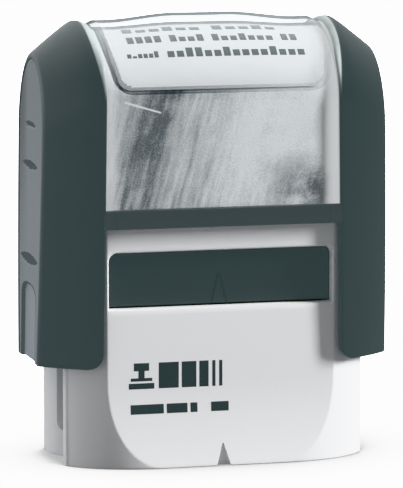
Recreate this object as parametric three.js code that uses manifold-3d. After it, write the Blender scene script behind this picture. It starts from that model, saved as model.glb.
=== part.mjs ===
// Self-inking stamp, small size, for an impression of about 27 x 10 mm.
// Millimetres. +X is the stamp's right, -Y its front, +Z up.
// The origin is the middle of the base's foot, on the surface being stamped.
import * as THREE from 'three';
import { mergeVertices } from 'three/addons/utils/BufferGeometryUtils.js';
import Module from 'manifold-3d';

const wasm = await Module();
wasm.setup();

// ---------------------------------------------------------------- driving dimensions

// Handle: outer width over the two arms, and the heights of its features.
const HANDLE_HALF_WIDTH = 23.0;
const HANDLE_BOTTOM = 12.8;
const HANDLE_CREST_X = 17.3;      // where the shoulder crest stands
const HANDLE_CREST_Z = 56.1;
const HANDLE_WALL = 1.3;
const SIDE_LEAN = 0.55 / 29;      // the side faces lean in by this much per millimetre of height
const WALL_BULGE = 1.6;           // how early the front and rear walls swell on their way up
const GRIP_POCKET_X = 21.75;      // floor of the pocket that holds a side grip
const GRIP_BACKING = 0.35;        // wall between the pocket and the hollow of the arm
const GRIP_RIM = 0.6;
const GRIP_RECESS = { half: 3.4, spring: 19.6, rise: 2.9, depth: 0.6 };
const GRIP_DIMPLES = [            // height, half length and half height of each thumb dimple
  { z: 43.3, length: 2.8, height: 0.5 },
  { z: 38.2, length: 4.2, height: 0.6 },
  { z: 26.1, length: 4.9, height: 0.85 },
];

// Opening between the arms, which holds the index window above the crossbars.
const OPENING_HALF_WIDTH = 15.5;
const OPENING_CORNER = 2.0;
const CROSSBAR_BOTTOM = 30.55;
const FRONT_BAR_TOP = 32.9;
const REAR_BAR_TOP = 37.0;
const CROSSBAR_FACE = 11.2;       // distance of the bars' outer faces from the middle plane

// Arched section shared by the window, the label, the card and the deck.
const ARCH_SPRING_Z = 46.0;       // height where the upright walls turn into the arch
const ARCH_FACETS = 20;           // facets from the front of the arch to its rear
const WINDOW_FACE = { half: 11.15, rise: 9.75 };
const WINDOW_WALL = 0.6;
const LABEL_THICKNESS = 0.1;
const LABEL = { halfWidth: 14.0, bottom: 48.0, bottomHalfWidth: 12.4, corner: 1.4, taperEnd: 53.0 };
const CARD_THICKNESS = 0.15;
const DECK_THICKNESS = 1.0;
const SHEET_GAP = 0.05;
const LENS_RISE = 0.95;
const LENS_HALF_WIDTH = 14.0;

// Base housing.
const BASE_HALF_WIDTH = 19.5;
const BASE_TOP = 31.0;
const PANEL_FACE = 9.9;           // front and rear panels, above the flare of the foot
const FOOT_FACE = 11.35;
const FLARE_HEIGHT = 11.0;
const BASE_WALL = 1.4;
const TUNNEL_HALF_WIDTH = 15.1;
const CHANNEL_FLOOR_X = 17.7;
const CUTOUT_HALF_WIDTH = 14.75;
const CUTOUT_BOTTOM = 20.3;
const CUTOUT_TOP = 27.45;
const SPRING_DECK_Z = 29.2;
const WELL_HALF_DEPTH = 8.5;      // open top of the base, above the spring's deck
const SPRING_SPIGOT = { radius: 2.95, height: 2.4 };
const LEDGE = { x: 14.45, halfDepth: 8.7, height: 0.8 };
const NOTCH_WIDTH = 1.9;
const NOTCH_HEIGHT = 2.85;

// Turning die: stroke, pivot height at rest and the stack it carries.
const STROKE = 12.5;
const PIVOT_Z = 17.0;
const PIVOT_RADIUS = 1.1;
const CAM_OFFSET = 3.2;
const CAM_RADIUS = 0.8;
const HOLDER = { x: 14.2, y: 5.2, low: -1.6, high: 2.4 };
const DIE = { x: 13.4, y: 4.85 };
const DIE_FACE = 4.5;             // height of the printing face above the pivot

// Ink cassette.
const CASSETTE = { x: 14.6, y: 8.5, bottom: 20.45, top: 27.2, wall: 0.7 };
const FELT_BOTTOM = 21.85;
const FELT_TOP = 25.6;

// Bow, spring and lock button.
const BOW = { outer: 21.1, inner: 20.1, halfDepth: 2.2, bridgeBottom: 48.9, bridgeTop: 50.4, lean: 0.55 };
const BOW_BOSS = { radius: 2.85, height: 2.4 };
const SPRING = { radius: 4.0, wire: 0.38, coils: 6.5 };
const BUTTON = { x: 3.6, bottom: 33.1, top: 35.5, inner: 10.35, outer: 11.5 };

const RUNNING_GAP = 0.2;
const FIT_GAP = 0.1;
const MERGE_DISTANCE = 1e-3;

// Distances that clear every face of the stamp, for cutting tools.
const PAST_FACE = 14;
const PAST_SIDE = 25;

// ---------------------------------------------------------------- materials

function plastic(colour, roughness) {
  return new THREE.MeshStandardMaterial({ color: colour, roughness, metalness: 0 });
}

const darkPlastic = () => plastic(0x36454a, 0.48);
const gripPlastic = () => plastic(0x5c6468, 0.55);
const whitePlastic = () => plastic(0xe4e5e6, 0.4);
const greyPlastic = () => plastic(0x8b9092, 0.5);
const clearPlastic = () => new THREE.MeshStandardMaterial({
  color: 0xdfe5e8, roughness: 0.08, transparent: true, opacity: 0.3,
});
const steel = () => new THREE.MeshStandardMaterial({ color: 0xb4b7ba, roughness: 0.3, metalness: 1 });

// ---------------------------------------------------------------- solids and booleans

// Turns a closed three.js geometry into a solid that can be joined and cut.
function solid(geometry) {
  let bare = geometry.clone();
  bare.deleteAttribute('normal');
  bare.deleteAttribute('uv');
  bare = mergeVertices(bare, MERGE_DISTANCE);
  return new wasm.Manifold(new wasm.Mesh({
    numProp: 3,
    vertProperties: new Float32Array(bare.attributes.position.array),
    triVerts: new Uint32Array(bare.index.array),
  }));
}

function rawGeometry(body) {
  const mesh = body.getMesh();
  const geometry = new THREE.BufferGeometry();
  geometry.setAttribute('position', new THREE.BufferAttribute(new Float32Array(mesh.vertProperties), 3));
  geometry.setIndex(new THREE.BufferAttribute(new Uint32Array(mesh.triVerts), 1));
  return geometry;
}

// The finished surface: points closer than the merge distance become one, and the
// flat slivers that this leaves behind are dropped.
function geometryOf(body) {
  const pieces = solid(rawGeometry(body)).decompose();
  const largest = pieces.reduce((best, piece) => (piece.volume() > best.volume() ? piece : best));
  const geometry = rawGeometry(largest);
  geometry.computeVertexNormals();
  return geometry;
}

function union(bodies) {
  return bodies.reduce((whole, body) => whole.add(body));
}

function cut(body, tools) {
  return tools.reduce((rest, tool) => rest.subtract(tool), body);
}

// Box between two corners.
function block(x0, x1, y0, y1, z0, z1) {
  const box = new THREE.BoxGeometry(x1 - x0, y1 - y0, z1 - z0);
  return solid(box.translate((x0 + x1) / 2, (y0 + y1) / 2, (z0 + z1) / 2));
}

// Short upright cylinder on the middle line.
function stub({ radius, height }, middleZ) {
  const drum = new THREE.CylinderGeometry(radius, radius, height, 32).rotateX(Math.PI / 2);
  return solid(drum.translate(0, 0, middleZ));
}

// Round bar along X.
function barX(x0, x1, y, z, radius, segments = 24) {
  const bar = new THREE.CylinderGeometry(radius, radius, x1 - x0, segments).rotateZ(Math.PI / 2);
  return solid(bar.translate((x0 + x1) / 2, y, z));
}

function prism(outline, depth) {
  return new THREE.ExtrudeGeometry(outline, { depth, bevelEnabled: false, curveSegments: 12 });
}

// Outline in the X-Y plane, raised along Z.
function raise(outline, z0, z1) {
  return solid(prism(outline, z1 - z0).translate(0, 0, z0));
}

// Outline drawn as (y, z), drawn out along X.
function alongX(outline, x0, x1) {
  const bar = prism(outline, x1 - x0).rotateY(Math.PI / 2).rotateX(Math.PI / 2);
  return solid(bar.translate(x0, 0, 0));
}

// Outline drawn as (x, z), drawn out along Y.
function alongY(outline, y0, y1) {
  return solid(prism(outline, y1 - y0).rotateX(Math.PI / 2).translate(0, y1, 0));
}

function polygon(points) {
  return new THREE.Shape(points.map(([a, b]) => new THREE.Vector2(a, b)));
}

function ordered(a, b) {
  return a < b ? [a, b] : [b, a];
}

function lerp(a, b, t) {
  return a + (b - a) * t;
}

// ---------------------------------------------------------------- handle surface

// Half-depth and heights of the handle's arched section at a distance x from the middle.
function handleSection(x) {
  const across = (Math.abs(x) - OPENING_HALF_WIDTH) / (HANDLE_HALF_WIDTH - OPENING_HALF_WIDTH);
  const side = Math.min(Math.max(across, 0), 1);
  const outside = Math.max(Math.abs(x) - HANDLE_CREST_X, 0);
  const inside = Math.min(Math.max(HANDLE_CREST_X - Math.abs(x), 0), 1.8);
  return {
    footHalf: quadratic(11.1, 9.4, 5.8, side),
    springHalf: quadratic(11.4, 10.3, 7.4, side),
    springZ: lerp(ARCH_SPRING_Z, 42.5, side),
    ridgeZ: HANDLE_CREST_Z - 0.78 * outside ** 2 / (outside + 0.6) - 0.1 * inside ** 2,
  };
}

function swell(v) {
  return 1 - (1 - v) ** WALL_BULGE;
}

function quadratic(start, control, end, t) {
  return lerp(lerp(start, control, t), lerp(control, end, t), t);
}

// Unit section: upright walls from v = 0 to 1, then a half-round arch from v = 1 to 2.
function unitArch() {
  const outline = new THREE.Shape();
  outline.moveTo(-1, 0);
  outline.lineTo(1, 0);
  for (let step = 1; step < 4; step += 1) {
    outline.lineTo(1, step / 4);
  }
  outline.absarc(0, 1, 1, 0, Math.PI, false);
  for (let step = 3; step > 0; step -= 1) {
    outline.lineTo(-1, step / 4);
  }
  return outline;
}

// Loft of the handle's section between two values of x, moved inwards by inset.
function handleLoft(x0, x1, inset, bottom) {
  const steps = Math.max(1, Math.round((x1 - x0) / 1.1));
  const loft = new THREE.ExtrudeGeometry(unitArch(), {
    depth: 1, steps, bevelEnabled: false, curveSegments: ARCH_FACETS,
  });
  const position = loft.attributes.position;
  for (let i = 0; i < position.count; i += 1) {
    const u = position.getX(i);
    const v = position.getY(i);
    const x = lerp(x0, x1, position.getZ(i));
    const section = handleSection(x);
    const half = lerp(section.footHalf, section.springHalf, swell(Math.min(v, 1))) - inset;
    const z = v <= 1
      ? lerp(bottom, section.springZ, v)
      : section.springZ + (v - 1) * (section.ridgeZ - section.springZ - inset);
    position.setXYZ(i, x * (1 - SIDE_LEAN * (z - HANDLE_BOTTOM) / HANDLE_HALF_WIDTH), u * half, z);
  }
  return solid(loft);
}

// ---------------------------------------------------------------- arched sheets over the handle

// Closed outline of a sheet that runs from the front foot over the arch to the rear foot.
function archSheet(outer, inner, frontZ, rearZ) {
  const points = [[-outer.half, frontZ]];
  const back = [[-inner.half, frontZ]];
  for (let i = 0; i <= ARCH_FACETS; i += 1) {
    const angle = Math.PI - Math.PI * i / ARCH_FACETS;
    points.push([outer.half * Math.cos(angle), ARCH_SPRING_Z + outer.rise * Math.sin(angle)]);
    back.push([inner.half * Math.cos(angle), ARCH_SPRING_Z + inner.rise * Math.sin(angle)]);
  }
  points.push([outer.half, rearZ]);
  back.push([inner.half, rearZ]);
  return polygon([...points, ...back.reverse()]);
}

function shrink(arch, by) {
  return { half: arch.half - by, rise: arch.rise - by };
}

const WINDOW_INNER = shrink(WINDOW_FACE, WINDOW_WALL);
const LABEL_OUTER = shrink(WINDOW_INNER, SHEET_GAP);
const LABEL_INNER = shrink(LABEL_OUTER, LABEL_THICKNESS);
const CARD_OUTER = shrink(LABEL_INNER, SHEET_GAP);
const CARD_INNER = shrink(CARD_OUTER, CARD_THICKNESS);
const DECK_OUTER = shrink(CARD_INNER, SHEET_GAP);
const DECK_INNER = shrink(DECK_OUTER, DECK_THICKNESS);

// Room inside the handle for the base when the handle is right down.
const BASE_ROOM = { gap: 0.35, above: 0.8 };
const CAVITY_FACE = PANEL_FACE + BASE_ROOM.gap;
const CAVITY_TOP = BASE_TOP + STROKE + BASE_ROOM.above;

// Region that a sheet's section encloses, as one filled outline.
function archFill(arch, bottom) {
  const points = [[-arch.half, bottom]];
  for (let i = 0; i <= ARCH_FACETS; i += 1) {
    const angle = Math.PI - Math.PI * i / ARCH_FACETS;
    points.push([arch.half * Math.cos(angle), ARCH_SPRING_Z + arch.rise * Math.sin(angle)]);
  }
  points.push([arch.half, bottom]);
  return polygon(points);
}

// ---------------------------------------------------------------- base outline

// Quarter of an ellipse for one wing of the base: x as a function of the turn, y outwards.
const WING = { x: 7.5, y: 3.35, a: 12.8, b: 8.0 };

function wingPoints(grow) {
  const points = [];
  const sideAngle = Math.acos((BASE_HALF_WIDTH - WING.x) / WING.a);
  for (let i = 0; i <= 10; i += 1) {
    const angle = lerp(sideAngle, Math.PI / 2, i / 10);
    points.push([
      WING.x + WING.a * Math.cos(angle) + grow * Math.cos(angle),
      WING.y + WING.b * Math.sin(angle) + grow * Math.sin(angle),
    ]);
  }
  return points;
}

// Whole plan of the base, without its side channels.
function basePlan(grow = 0) {
  const rearRight = wingPoints(grow);
  const rearLeft = rearRight.map(([x, y]) => [-x, y]).reverse();
  const frontLeft = rearRight.map(([x, y]) => [-x, -y]);
  const frontRight = rearRight.map(([x, y]) => [x, -y]).reverse();
  return polygon([...rearRight, ...rearLeft, ...frontLeft, ...frontRight]);
}

// Distance of the front panel from the middle plane at a height z: the foot flares outwards.
function panelFace(z) {
  return PANEL_FACE + (FOOT_FACE - PANEL_FACE) * Math.max(1 - z / FLARE_HEIGHT, 0) ** 2;
}

// Section (y, z) between the two panels, moved inwards by inset, from below the foot up to top.
function panelSection(inset, top) {
  const side = [];
  for (let i = 0; i <= 8; i += 1) {
    const z = FLARE_HEIGHT * i / 8;
    side.push([panelFace(z) - inset, z]);
  }
  side[0][1] = -1;
  side.push([PANEL_FACE - inset, top]);
  const mirrored = side.map(([y, z]) => [-y, z]).reverse();
  return polygon([...side, ...mirrored]);
}

// Side channel: open between the front wing and the rear lip, which rises in a soft curve.
function channelPlan(side) {
  const outline = [
    [CHANNEL_FLOOR_X, -4.8],
    [BASE_HALF_WIDTH + 2, -4.8],
    [BASE_HALF_WIDTH + 2, 3.4],
    [BASE_HALF_WIDTH - 0.02, 3.3],
    [BASE_HALF_WIDTH - 0.4, 1.8],
    [BASE_HALF_WIDTH - 0.95, 0.9],
    [CHANNEL_FLOOR_X + 0.25, -0.1],
    [CHANNEL_FLOOR_X, -0.5],
  ].map(([x, y]) => [side * x, y]);
  return polygon(side > 0 ? outline : outline.reverse());
}

// Groove for a cam pin: the pin turns half a turn while the pivot goes down by the stroke.
function camPath(t) {
  return [
    CAM_OFFSET * Math.cos(Math.PI * t),
    PIVOT_Z - STROKE * t + CAM_OFFSET * Math.sin(Math.PI * t),
  ];
}

function camGroove(x0, x1) {
  const width = CAM_RADIUS + RUNNING_GAP;
  const steps = 24;
  const left = [];
  const right = [];
  for (let i = 0; i <= steps; i += 1) {
    const t = i / steps;
    const [y, z] = camPath(t);
    const [ya, za] = camPath(t - 0.01);
    const [yb, zb] = camPath(t + 0.01);
    const length = Math.hypot(yb - ya, zb - za);
    const normal = [-(zb - za) / length, (yb - ya) / length];
    left.push([y + normal[0] * width, z + normal[1] * width]);
    right.push([y - normal[0] * width, z - normal[1] * width]);
  }
  const groove = alongX(polygon([...left, ...right.reverse()].reverse()), x0, x1);
  const ends = [0, 1].map((t) => barX(x0, x1, ...camPath(t), width));
  return union([groove, ...ends]);
}

// ---------------------------------------------------------------- base housing

function baseHousing() {
  const between = alongX(panelSection(0, BASE_TOP + 1), -PAST_SIDE, PAST_SIDE);
  const shell = raise(basePlan(), 0, BASE_TOP).intersect(between);
  const tunnel = alongX(panelSection(BASE_WALL, CUTOUT_TOP), -TUNNEL_HALF_WIDTH, TUNNEL_HALF_WIDTH);
  const well = block(-TUNNEL_HALF_WIDTH, TUNNEL_HALF_WIDTH,
    -WELL_HALF_DEPTH, WELL_HALF_DEPTH, SPRING_DECK_Z, BASE_TOP + 1);
  const cutouts = block(-CUTOUT_HALF_WIDTH, CUTOUT_HALF_WIDTH,
    -PAST_FACE, PAST_FACE, CUTOUT_BOTTOM, CUTOUT_TOP);
  const cuts = [tunnel, well, cutouts];
  for (const side of [-1, 1]) {
    const span = (x0, x1) => ordered(side * x0, side * x1);
    cuts.push(raise(channelPlan(side), -1, BASE_TOP + 1));
    cuts.push(pivotSlot(...span(14, 21)));
    cuts.push(camGroove(...span(15, 16.4)));
  }
  const notch = polygon([[-NOTCH_WIDTH / 2, -0.5], [NOTCH_WIDTH / 2, -0.5], [0, NOTCH_HEIGHT]]);
  cuts.push(alongY(notch, -PAST_FACE, PAST_FACE));
  const body = cut(shell, cuts);
  const spigot = stub(SPRING_SPIGOT, SPRING_DECK_Z + SPRING_SPIGOT.height / 2 - FIT_GAP);
  const ledges = [-1, 1].map((side) => {
    const [x0, x1] = ordered(side * LEDGE.x, side * (TUNNEL_HALF_WIDTH + RUNNING_GAP));
    return block(x0, x1, -LEDGE.halfDepth, LEDGE.halfDepth, CUTOUT_BOTTOM - LEDGE.height, CUTOUT_BOTTOM);
  });
  return union([body, spigot, ...ledges]);
}

// Upright slot that lets the die's pivots travel down through the side wall.
function pivotSlot(x0, x1) {
  const half = PIVOT_RADIUS + RUNNING_GAP;
  const slot = new THREE.Shape();
  slot.absarc(0, PIVOT_Z, half, 0, Math.PI, false);
  slot.absarc(0, PIVOT_Z - STROKE, half, Math.PI, 2 * Math.PI, false);
  return alongX(slot, x0, x1);
}

// ---------------------------------------------------------------- handle

// Outline (y, z) of one side face: it narrows downwards and closes in a pointed arch above.
function sideFaceOutline(inset) {
  const section = handleSection(HANDLE_HALF_WIDTH);
  const front = [];
  for (let i = 0; i <= 6; i += 1) {
    const v = i / 6;
    const half = lerp(section.footHalf, section.springHalf, swell(v));
    front.push([half - inset, lerp(HANDLE_BOTTOM, section.springZ, v)]);
  }
  front[0][1] = HANDLE_BOTTOM - 1;
  for (let i = 1; i <= 12; i += 1) {
    const angle = Math.PI / 2 * i / 12;
    front.push([
      (section.springHalf - inset) * Math.cos(angle),
      section.springZ + (section.ridgeZ - section.springZ - inset) * Math.sin(angle),
    ]);
  }
  front[front.length - 1][0] = 0;
  const mirrored = front.slice(0, -1).map(([y, z]) => [-y, z]).reverse();
  return polygon([...front, ...mirrored]);
}

function gripPocket(side, inset, x) {
  const [x0, x1] = ordered(side * x, side * (HANDLE_HALF_WIDTH + 1));
  return alongX(sideFaceOutline(inset), x0, x1);
}

// Space between the arms, with rounded lower corners.
function armGap() {
  const w = OPENING_HALF_WIDTH;
  const r = OPENING_CORNER;
  const outline = new THREE.Shape();
  outline.moveTo(-w, CROSSBAR_BOTTOM);
  outline.lineTo(-w, HANDLE_BOTTOM + r);
  outline.absarc(-w - r, HANDLE_BOTTOM + r, r, 0, -Math.PI / 2, true);
  outline.lineTo(-w - r, HANDLE_BOTTOM - 1);
  outline.lineTo(w + r, HANDLE_BOTTOM - 1);
  outline.lineTo(w + r, HANDLE_BOTTOM);
  outline.absarc(w + r, HANDLE_BOTTOM + r, r, -Math.PI / 2, -Math.PI, true);
  outline.lineTo(w, CROSSBAR_BOTTOM);
  return alongY(outline, -PAST_FACE, PAST_FACE);
}

// Hollow inside one arm, for the bow's leg.
function armHollow(side) {
  const [x0, x1] = ordered(side * (OPENING_HALF_WIDTH + HANDLE_WALL), side * (GRIP_POCKET_X - GRIP_BACKING));
  return handleLoft(x0, x1, HANDLE_WALL, HANDLE_BOTTOM - 1);
}

function handleCap() {
  const outer = handleLoft(-HANDLE_HALF_WIDTH, HANDLE_HALF_WIDTH, 0, HANDLE_BOTTOM);
  const w = OPENING_HALF_WIDTH;
  const deckHollow = alongX(archFill(DECK_INNER, CAVITY_TOP - 0.5), -w - 2, w + 2);
  const baseRoom = raise(basePlan(0.4), HANDLE_BOTTOM - 1, CAVITY_TOP)
    .intersect(block(-21, 21, -CAVITY_FACE, CAVITY_FACE, HANDLE_BOTTOM - 2, CAVITY_TOP));
  const aboveDeck = archBand(w);
  const sheetRoom = block(-w, w, -PAST_FACE, PAST_FACE, FRONT_BAR_TOP, CAVITY_TOP);
  const barFaces = [
    block(-w, w, -PAST_FACE, -CROSSBAR_FACE, HANDLE_BOTTOM, FRONT_BAR_TOP + 1),
    block(-w, w, CROSSBAR_FACE, PAST_FACE, HANDLE_BOTTOM, REAR_BAR_TOP + 1),
  ];
  const rearBar = block(-w - 0.5, w + 0.5, CAVITY_FACE, CROSSBAR_FACE, CROSSBAR_BOTTOM, REAR_BAR_TOP);
  const buttonHole = block(-BUTTON.x - FIT_GAP, BUTTON.x + FIT_GAP,
    CAVITY_FACE - 1, PAST_FACE, BUTTON.bottom - FIT_GAP, BUTTON.top + FIT_GAP);
  const pockets = [-1, 1].map((side) => gripPocket(side, GRIP_RIM, GRIP_POCKET_X));
  const body = cut(outer, [
    armHollow(-1), armHollow(1), deckHollow, baseRoom, aboveDeck, sheetRoom,
    ...barFaces, armGap(), ...pockets,
  ]);
  return body.add(rearBar).subtract(buttonHole);
}

// Everything above the deck's outer surface, between the arms.
function archBand(w) {
  const slab = block(-w, w, -PAST_FACE, PAST_FACE, CAVITY_TOP - 0.01, HANDLE_CREST_Z + 2);
  return slab.subtract(alongX(archFill(DECK_OUTER, CAVITY_TOP - 1), -w - 1, w + 1));
}

// Inlaid side grip with three thumb dimples and an arched recess at its foot.
function gripPanel(side) {
  const outer = handleLoft(-HANDLE_HALF_WIDTH, HANDLE_HALF_WIDTH, 0, HANDLE_BOTTOM);
  const panel = outer.intersect(gripPocket(side, GRIP_RIM + FIT_GAP, GRIP_POCKET_X + FIT_GAP));
  const dimples = GRIP_DIMPLES.map(({ z, length, height }) => {
    const x = HANDLE_HALF_WIDTH - SIDE_LEAN * (z - HANDLE_BOTTOM) + 0.25;
    const ball = new THREE.SphereGeometry(1, 24, 12).scale(0.75, length, height);
    return solid(ball.translate(side * x, 0, z));
  });
  const { half, spring, rise, depth } = GRIP_RECESS;
  const recess = new THREE.Shape();
  recess.moveTo(-half, HANDLE_BOTTOM - 1);
  recess.lineTo(half, HANDLE_BOTTOM - 1);
  recess.absellipse(0, spring, half, rise, 0, Math.PI, false);
  const [x0, x1] = ordered(side * (HANDLE_HALF_WIDTH - depth), side * (HANDLE_HALF_WIDTH + 1));
  return cut(panel, [...dimples, alongX(recess, x0, x1)]);
}

// ---------------------------------------------------------------- index window, label and card

// Clear arched sheet. Its outer skin swells into a lens over the label, thickest in the middle.
function indexWindow() {
  const w = OPENING_HALF_WIDTH - FIT_GAP;
  const outline = archSheet(WINDOW_FACE, WINDOW_INNER, FRONT_BAR_TOP + FIT_GAP, REAR_BAR_TOP + FIT_GAP);
  const sheet = new THREE.ExtrudeGeometry(outline, { depth: 2 * w, steps: 22, bevelEnabled: false });
  sheet.rotateY(Math.PI / 2).rotateX(Math.PI / 2).translate(-w, 0, 0);
  const position = sheet.attributes.position;
  for (let i = 0; i < position.count; i += 1) {
    const x = position.getX(i);
    const c = position.getY(i) / WINDOW_FACE.half;
    const s = Math.max(position.getZ(i) - ARCH_SPRING_Z, 0) / WINDOW_FACE.rise;
    const onOuterSkin = Math.hypot(c, s) > 0.99;
    const across = Math.min(Math.abs(x) / LENS_HALF_WIDTH, 1);
    const lift = onOuterSkin ? LENS_RISE * (1 - across ** 2) * s : 0;
    position.setXYZ(i, x, position.getY(i) + lift * c, position.getZ(i) + lift * s);
  }
  return solid(sheet);
}

function indexCard() {
  const w = OPENING_HALF_WIDTH - 2 * FIT_GAP;
  return alongX(archSheet(CARD_OUTER, CARD_INNER, FRONT_BAR_TOP + FIT_GAP, REAR_BAR_TOP + FIT_GAP), -w, w);
}

// The label covers only the arch, under the lens. It narrows towards its rounded lower corners.
function indexLabel() {
  const { halfWidth, bottom, bottomHalfWidth, corner, taperEnd } = LABEL;
  const sheet = archSheet(LABEL_OUTER, LABEL_INNER, FRONT_BAR_TOP, FRONT_BAR_TOP);
  const whole = alongX(sheet, -halfWidth, halfWidth);
  const outline = new THREE.Shape();
  outline.moveTo(-halfWidth, HANDLE_CREST_Z + 2);
  outline.lineTo(-halfWidth, taperEnd);
  outline.lineTo(-bottomHalfWidth, bottom + corner);
  outline.absarc(corner - bottomHalfWidth, bottom + corner, corner, Math.PI, 1.5 * Math.PI, false);
  outline.absarc(bottomHalfWidth - corner, bottom + corner, corner, 1.5 * Math.PI, 2 * Math.PI, false);
  outline.lineTo(halfWidth, taperEnd);
  outline.lineTo(halfWidth, HANDLE_CREST_Z + 2);
  return whole.intersect(alongY(outline, -PAST_FACE, PAST_FACE));
}

// ---------------------------------------------------------------- bow, spring, lock button

// Bow that hangs from the handle and carries the die's pivots at its lower ends.
function bow() {
  const d = BOW.halfDepth;
  const reach = BOW.outer - 1.4;
  const bridge = block(-reach, reach, -d, d, BOW.bridgeBottom, BOW.bridgeTop);
  const legs = [-1, 1].map((side) => {
    const leg = polygon([
      [side * BOW.inner, PIVOT_Z],
      [side * BOW.outer, PIVOT_Z],
      [side * (BOW.outer - BOW.lean), BOW.bridgeBottom - 1.2],
      [side * (BOW.outer - 1.6), BOW.bridgeTop],
      [side * (BOW.inner - 2.2), BOW.bridgeTop],
      [side * (BOW.inner - BOW.lean), BOW.bridgeBottom - 2.6],
    ]);
    const [x0, x1] = ordered(side * BOW.inner, side * BOW.outer);
    const foot = barX(x0, x1, 0, PIVOT_Z, d, 32);
    const bore = barX(x0 - 1, x1 + 1, 0, PIVOT_Z, PIVOT_RADIUS + FIT_GAP);
    return alongY(leg, -d, d).add(foot).subtract(bore);
  });
  return union([bridge, stub(BOW_BOSS, BOW.bridgeBottom - BOW_BOSS.height / 2 + FIT_GAP), ...legs]);
}

// Helix with flattened ends.
class SpringCurve extends THREE.Curve {
  getPoint(t, target = new THREE.Vector3()) {
    const bottom = SPRING_DECK_Z + FIT_GAP + SPRING.wire;
    const top = BOW.bridgeBottom - FIT_GAP - SPRING.wire;
    const flat = t - Math.sin(2 * Math.PI * t) / (2 * Math.PI) * 0.75;
    const angle = 2 * Math.PI * SPRING.coils * t;
    const z = lerp(bottom, top, flat);
    return target.set(SPRING.radius * Math.cos(angle), SPRING.radius * Math.sin(angle), z);
  }
}

function returnSpring() {
  const wire = new THREE.Shape();
  wire.absarc(0, 0, SPRING.wire, 0, 2 * Math.PI, false);
  return solid(new THREE.ExtrudeGeometry(wire, {
    extrudePath: new SpringCurve(), steps: 130, curveSegments: 4, bevelEnabled: false,
  }));
}

function lockButton() {
  const body = block(-BUTTON.x, BUTTON.x, BUTTON.inner, BUTTON.outer, BUTTON.bottom, BUTTON.top);
  const middle = (BUTTON.bottom + BUTTON.top) / 2;
  const groove = block(-0.25, 0.25, BUTTON.outer - 0.2, BUTTON.outer + 1, middle - 0.8, middle + 0.8);
  return cut(body, [-2.1, -0.7, 0.7, 2.1].map((x) => groove.translate([x, 0, 0])));
}

// ---------------------------------------------------------------- die and ink cassette

function dieHolder() {
  const { x, y, low, high } = HOLDER;
  const plate = block(-x, x, -y, y, PIVOT_Z + low, PIVOT_Z + high);
  const hollow = block(-x + 1.6, x - 1.6, -y + 1.3, y - 1.3, PIVOT_Z + low - 1, PIVOT_Z + high - 1.5);
  const pivots = barX(-BOW.outer + 0.1, BOW.outer - 0.1, 0, PIVOT_Z, PIVOT_RADIUS);
  const camPins = [
    barX(-16.2, -HOLDER.x + 0.5, CAM_OFFSET, PIVOT_Z, CAM_RADIUS),
    barX(HOLDER.x - 0.5, 16.2, CAM_OFFSET, PIVOT_Z, CAM_RADIUS),
  ];
  return union([plate.subtract(hollow), pivots, ...camPins]);
}

function dieFoam() {
  return block(-DIE.x, DIE.x, -DIE.y, DIE.y, PIVOT_Z + 2.45, PIVOT_Z + 3.0);
}

// Rubber sheet with plain raised bars in place of an address: two rows of word-like bars and a rule.
function textPlate() {
  const sheet = block(-DIE.x, DIE.x, -DIE.y, DIE.y, PIVOT_Z + 3.05, PIVOT_Z + 3.85);
  const low = PIVOT_Z + 3.7;
  const high = PIVOT_Z + DIE_FACE;
  const rows = [
    { y: 2.6, height: 1.5, words: [[-11.5, -5.2], [-4.2, 1.6], [2.6, 11.5]] },
    { y: 0.0, height: 1.2, words: [[-11.5, -8.0], [-7.0, 0.4], [1.4, 5.0], [6.0, 11.5]] },
    { y: -2.6, height: 1.5, words: [[-11.5, -3.0], [-2.0, 4.8], [5.8, 11.5]] },
  ];
  const bars = rows.flatMap(({ y, height, words }) =>
    words.map(([x0, x1]) => block(x0, x1, y - height / 2, y + height / 2, low, high)));
  return union([sheet, ...bars]);
}

function inkCassette() {
  const { x, y, bottom, top, wall } = CASSETTE;
  const corner = 0.75;
  const front = new THREE.Shape();
  front.moveTo(-x, bottom);
  front.lineTo(x, bottom);
  front.lineTo(x, top - corner);
  front.absarc(x - corner, top - corner, corner, 0, Math.PI / 2, false);
  front.lineTo(-x + corner, top);
  front.absarc(-x + corner, top - corner, corner, Math.PI / 2, Math.PI, false);
  const body = alongY(front, -y, y);
  const tray = block(-x + wall, x - wall, -y + wall, y - wall, bottom - 1, FELT_TOP + FIT_GAP);
  const mark = directionMark();
  return cut(body, [tray, mark, mark.mirror([0, 1, 0])]);
}

// Shallow arrowhead groove that shows which way up the cassette goes.
function directionMark() {
  const { y, bottom, top } = CASSETTE;
  const apex = top - 2.6;
  const outline = polygon([[-1.35, bottom - 0.5], [1.35, bottom - 0.5], [0.18, apex], [-0.18, apex]]);
  const inner = polygon([[-0.95, bottom - 1], [0.95, bottom - 1], [0, apex - 1.0]]);
  return alongY(outline, -y - 1, -y + 0.25).subtract(alongY(inner, -y - 2, -y + 1));
}

function inkPad() {
  const x = CASSETTE.x - CASSETTE.wall - FIT_GAP;
  const y = CASSETTE.y - CASSETTE.wall - FIT_GAP;
  return block(-x, x, -y, y, FELT_BOTTOM, FELT_TOP);
}

// ---------------------------------------------------------------- assembly

const stamp = new THREE.Group();
stamp.name = 'self_inking_stamp';

function addPart(name, body, material) {
  const mesh = new THREE.Mesh(geometryOf(body), material);
  mesh.name = name;
  stamp.add(mesh);
}

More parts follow.
